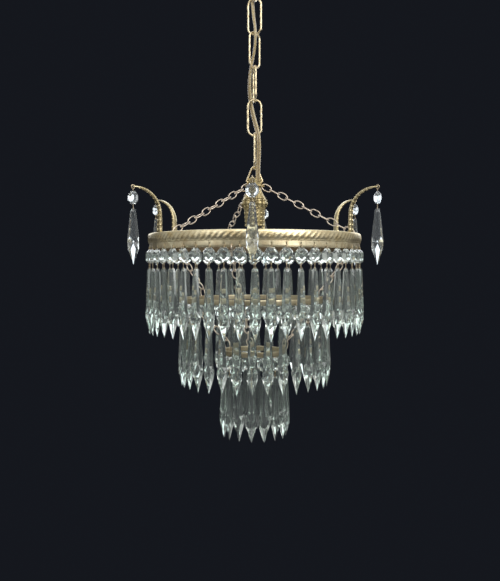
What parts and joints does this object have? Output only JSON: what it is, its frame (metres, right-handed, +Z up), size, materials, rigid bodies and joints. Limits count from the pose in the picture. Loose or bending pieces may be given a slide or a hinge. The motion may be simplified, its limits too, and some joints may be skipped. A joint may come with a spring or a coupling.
{
  "type": "waterfall pendant chandelier",
  "caption": "Small hanging waterfall chandelier: a gilt crown on a long-link chain, a gilt ring with arms, and concentric tiers of cut-glass icicles.",
  "frame": {"origin": "centre of the ceiling plate's face, where it meets the ceiling", "axes": "+Z up into the ceiling; the light hangs along -Z; -Y is the front, the side seen in the reference view; +X is the front view's right"},
  "size_m": [0.2772, 0.3137, 0.5844],
  "materials": {
    "fitting_gilt": "satin lacquered gilt",
    "chain_gilt": "hammered pale gilt",
    "crown_gilt": "aged embossed gilt",
    "holder_shell": "matt dark",
    "band_gilt": "aged stamped gilt",
    "strip_brass": "dull rolled strip",
    "arm_gilt": "aged cast gilt",
    "small_chain": "tarnished drawn wire",
    "pin_wire": "bright drawn wire",
    "crystal": "clear cut crystal",
    "flex_sheath": "clear gold-brown sheath"
  },
  "bodies": {
    "ceiling": {"ceiling_plate": "fitting_gilt", "ceiling_eye": "fitting_gilt", "cord_grip": "fitting_gilt", "lamp_flex": "flex_sheath"},
    "link_1": {"chain_link_1": "chain_gilt"},
    "link_2": {"chain_link_2": "chain_gilt"},
    "link_3": {"chain_link_3": "chain_gilt"},
    "link_4": {"chain_link_4": "chain_gilt"},
    "link_5": {"chain_link_5": "chain_gilt"},
    "link_6": {"chain_link_6": "chain_gilt"},
    "bail": {"bail": "chain_gilt"},
    "chandelier": {"crown_cap": "crown_gilt", "chain_plate": "crown_gilt", "crown_shoulder": "crown_gilt", "crown_collar": "crown_gilt", "crown_sleeve": "crown_gilt", "lampholder": "holder_shell", "top_band": "band_gilt", "top_strip": "strip_brass", "middle_ring": "strip_brass", "bottom_ring": "strip_brass", "arm_1": "arm_gilt", "arm_2": "arm_gilt", "arm_3": "arm_gilt", "arm_4": "arm_gilt", "arm_5": "arm_gilt", "arm_6": "arm_gilt", "upper_chain_1": "small_chain", "upper_chain_2": "small_chain", "upper_chain_3": "small_chain", "middle_chains": "small_chain", "lower_chains": "small_chain", "top_beads": "crystal", "top_pins": "pin_wire", "top_icicles": "crystal", "middle_beads": "crystal", "middle_pins": "pin_wire", "middle_icicles": "crystal", "bottom_beads": "crystal", "bottom_pins": "pin_wire", "bottom_icicles": "crystal"},
    "pendant_1": {"pendant_hook_1": "pin_wire", "pendant_bead_1": "crystal", "pendant_spear_1": "crystal"},
    "pendant_2": {"pendant_hook_2": "pin_wire", "pendant_bead_2": "crystal", "pendant_spear_2": "crystal"},
    "pendant_3": {"pendant_hook_3": "pin_wire", "pendant_bead_3": "crystal", "pendant_spear_3": "crystal"},
    "pendant_4": {"pendant_hook_4": "pin_wire", "pendant_bead_4": "crystal", "pendant_spear_4": "crystal"},
    "pendant_5": {"pendant_hook_5": "pin_wire", "pendant_bead_5": "crystal", "pendant_spear_5": "crystal"},
    "pendant_6": {"pendant_hook_6": "pin_wire", "pendant_bead_6": "crystal", "pendant_spear_6": "crystal"}
  },
  "joints": [
    {"name": "link_1_swing", "type": "hinge", "parent": "ceiling", "child": "link_1", "pos_m": [0, 0, -0.0295], "axis": [0.9511, -0.309, 0], "range_deg": [-12, 12], "deforming": ["lamp_flex"]},
    {"name": "link_2_swing", "type": "hinge", "parent": "link_1", "child": "link_2", "pos_m": [0, 0, -0.0687], "axis": [0.309, 0.9511, 0], "range_deg": [-12, 12], "deforming": ["lamp_flex"]},
    {"name": "link_3_swing", "type": "hinge", "parent": "link_2", "child": "link_3", "pos_m": [0, 0, -0.1083], "axis": [0.9511, -0.309, 0], "range_deg": [-12, 12], "deforming": ["lamp_flex"]},
    {"name": "link_4_swing", "type": "hinge", "parent": "link_3", "child": "link_4", "pos_m": [0, 0, -0.1479], "axis": [0.7431, 0.6691, 0], "range_deg": [-12, 12], "deforming": ["lamp_flex"]},
    {"name": "link_5_swing", "type": "hinge", "parent": "link_4", "child": "link_5", "pos_m": [0, 0, -0.1875], "axis": [-0.1736, 0.9848, 0], "range_deg": [-12, 12], "deforming": ["lamp_flex"]},
    {"name": "link_6_swing", "type": "hinge", "parent": "link_5", "child": "link_6", "pos_m": [0, 0, -0.2271], "axis": [1, 0, 0], "range_deg": [-12, 12], "deforming": ["lamp_flex"]},
    {"name": "bail_swing", "type": "hinge", "parent": "link_6", "child": "bail", "pos_m": [0, 0, -0.2667], "axis": [0, 1, 0], "range_deg": [-12, 12], "deforming": ["lamp_flex"]},
    {"name": "chandelier_swing", "type": "hinge", "parent": "bail", "child": "chandelier", "pos_m": [0, 0, -0.28227], "axis": [1, 0, 0], "range_deg": [-15, 15], "deforming": ["lamp_flex"]},
    {"name": "pendant_1_swing", "type": "hinge", "parent": "chandelier", "child": "pendant_1", "pos_m": [-0.0032, -0.15257, -0.29587], "axis": [-0.9998, 0.0209, 0], "range_deg": [-12, 25]},
    {"name": "pendant_2_swing", "type": "hinge", "parent": "chandelier", "child": "pendant_2", "pos_m": [0.13282, -0.07514, -0.29587], "axis": [-0.4924, -0.8704, 0], "range_deg": [-12, 25]},
    {"name": "pendant_3_swing", "type": "hinge", "parent": "chandelier", "child": "pendant_3", "pos_m": [0.1308, 0.07859, -0.29587], "axis": [0.515, -0.8572, 0], "range_deg": [-12, 25]},
    {"name": "pendant_4_swing", "type": "hinge", "parent": "chandelier", "child": "pendant_4", "pos_m": [0.0141, 0.15195, -0.29587], "axis": [0.9957, -0.0924, 0], "range_deg": [-12, 25]},
    {"name": "pendant_5_swing", "type": "hinge", "parent": "chandelier", "child": "pendant_5", "pos_m": [-0.12798, 0.08311, -0.29587], "axis": [0.5446, 0.8387, 0], "range_deg": [-12, 25]},
    {"name": "pendant_6_swing", "type": "hinge", "parent": "chandelier", "child": "pendant_6", "pos_m": [-0.13175, -0.07699, -0.29587], "axis": [-0.5045, 0.8634, 0], "range_deg": [-12, 25]}
  ]
}
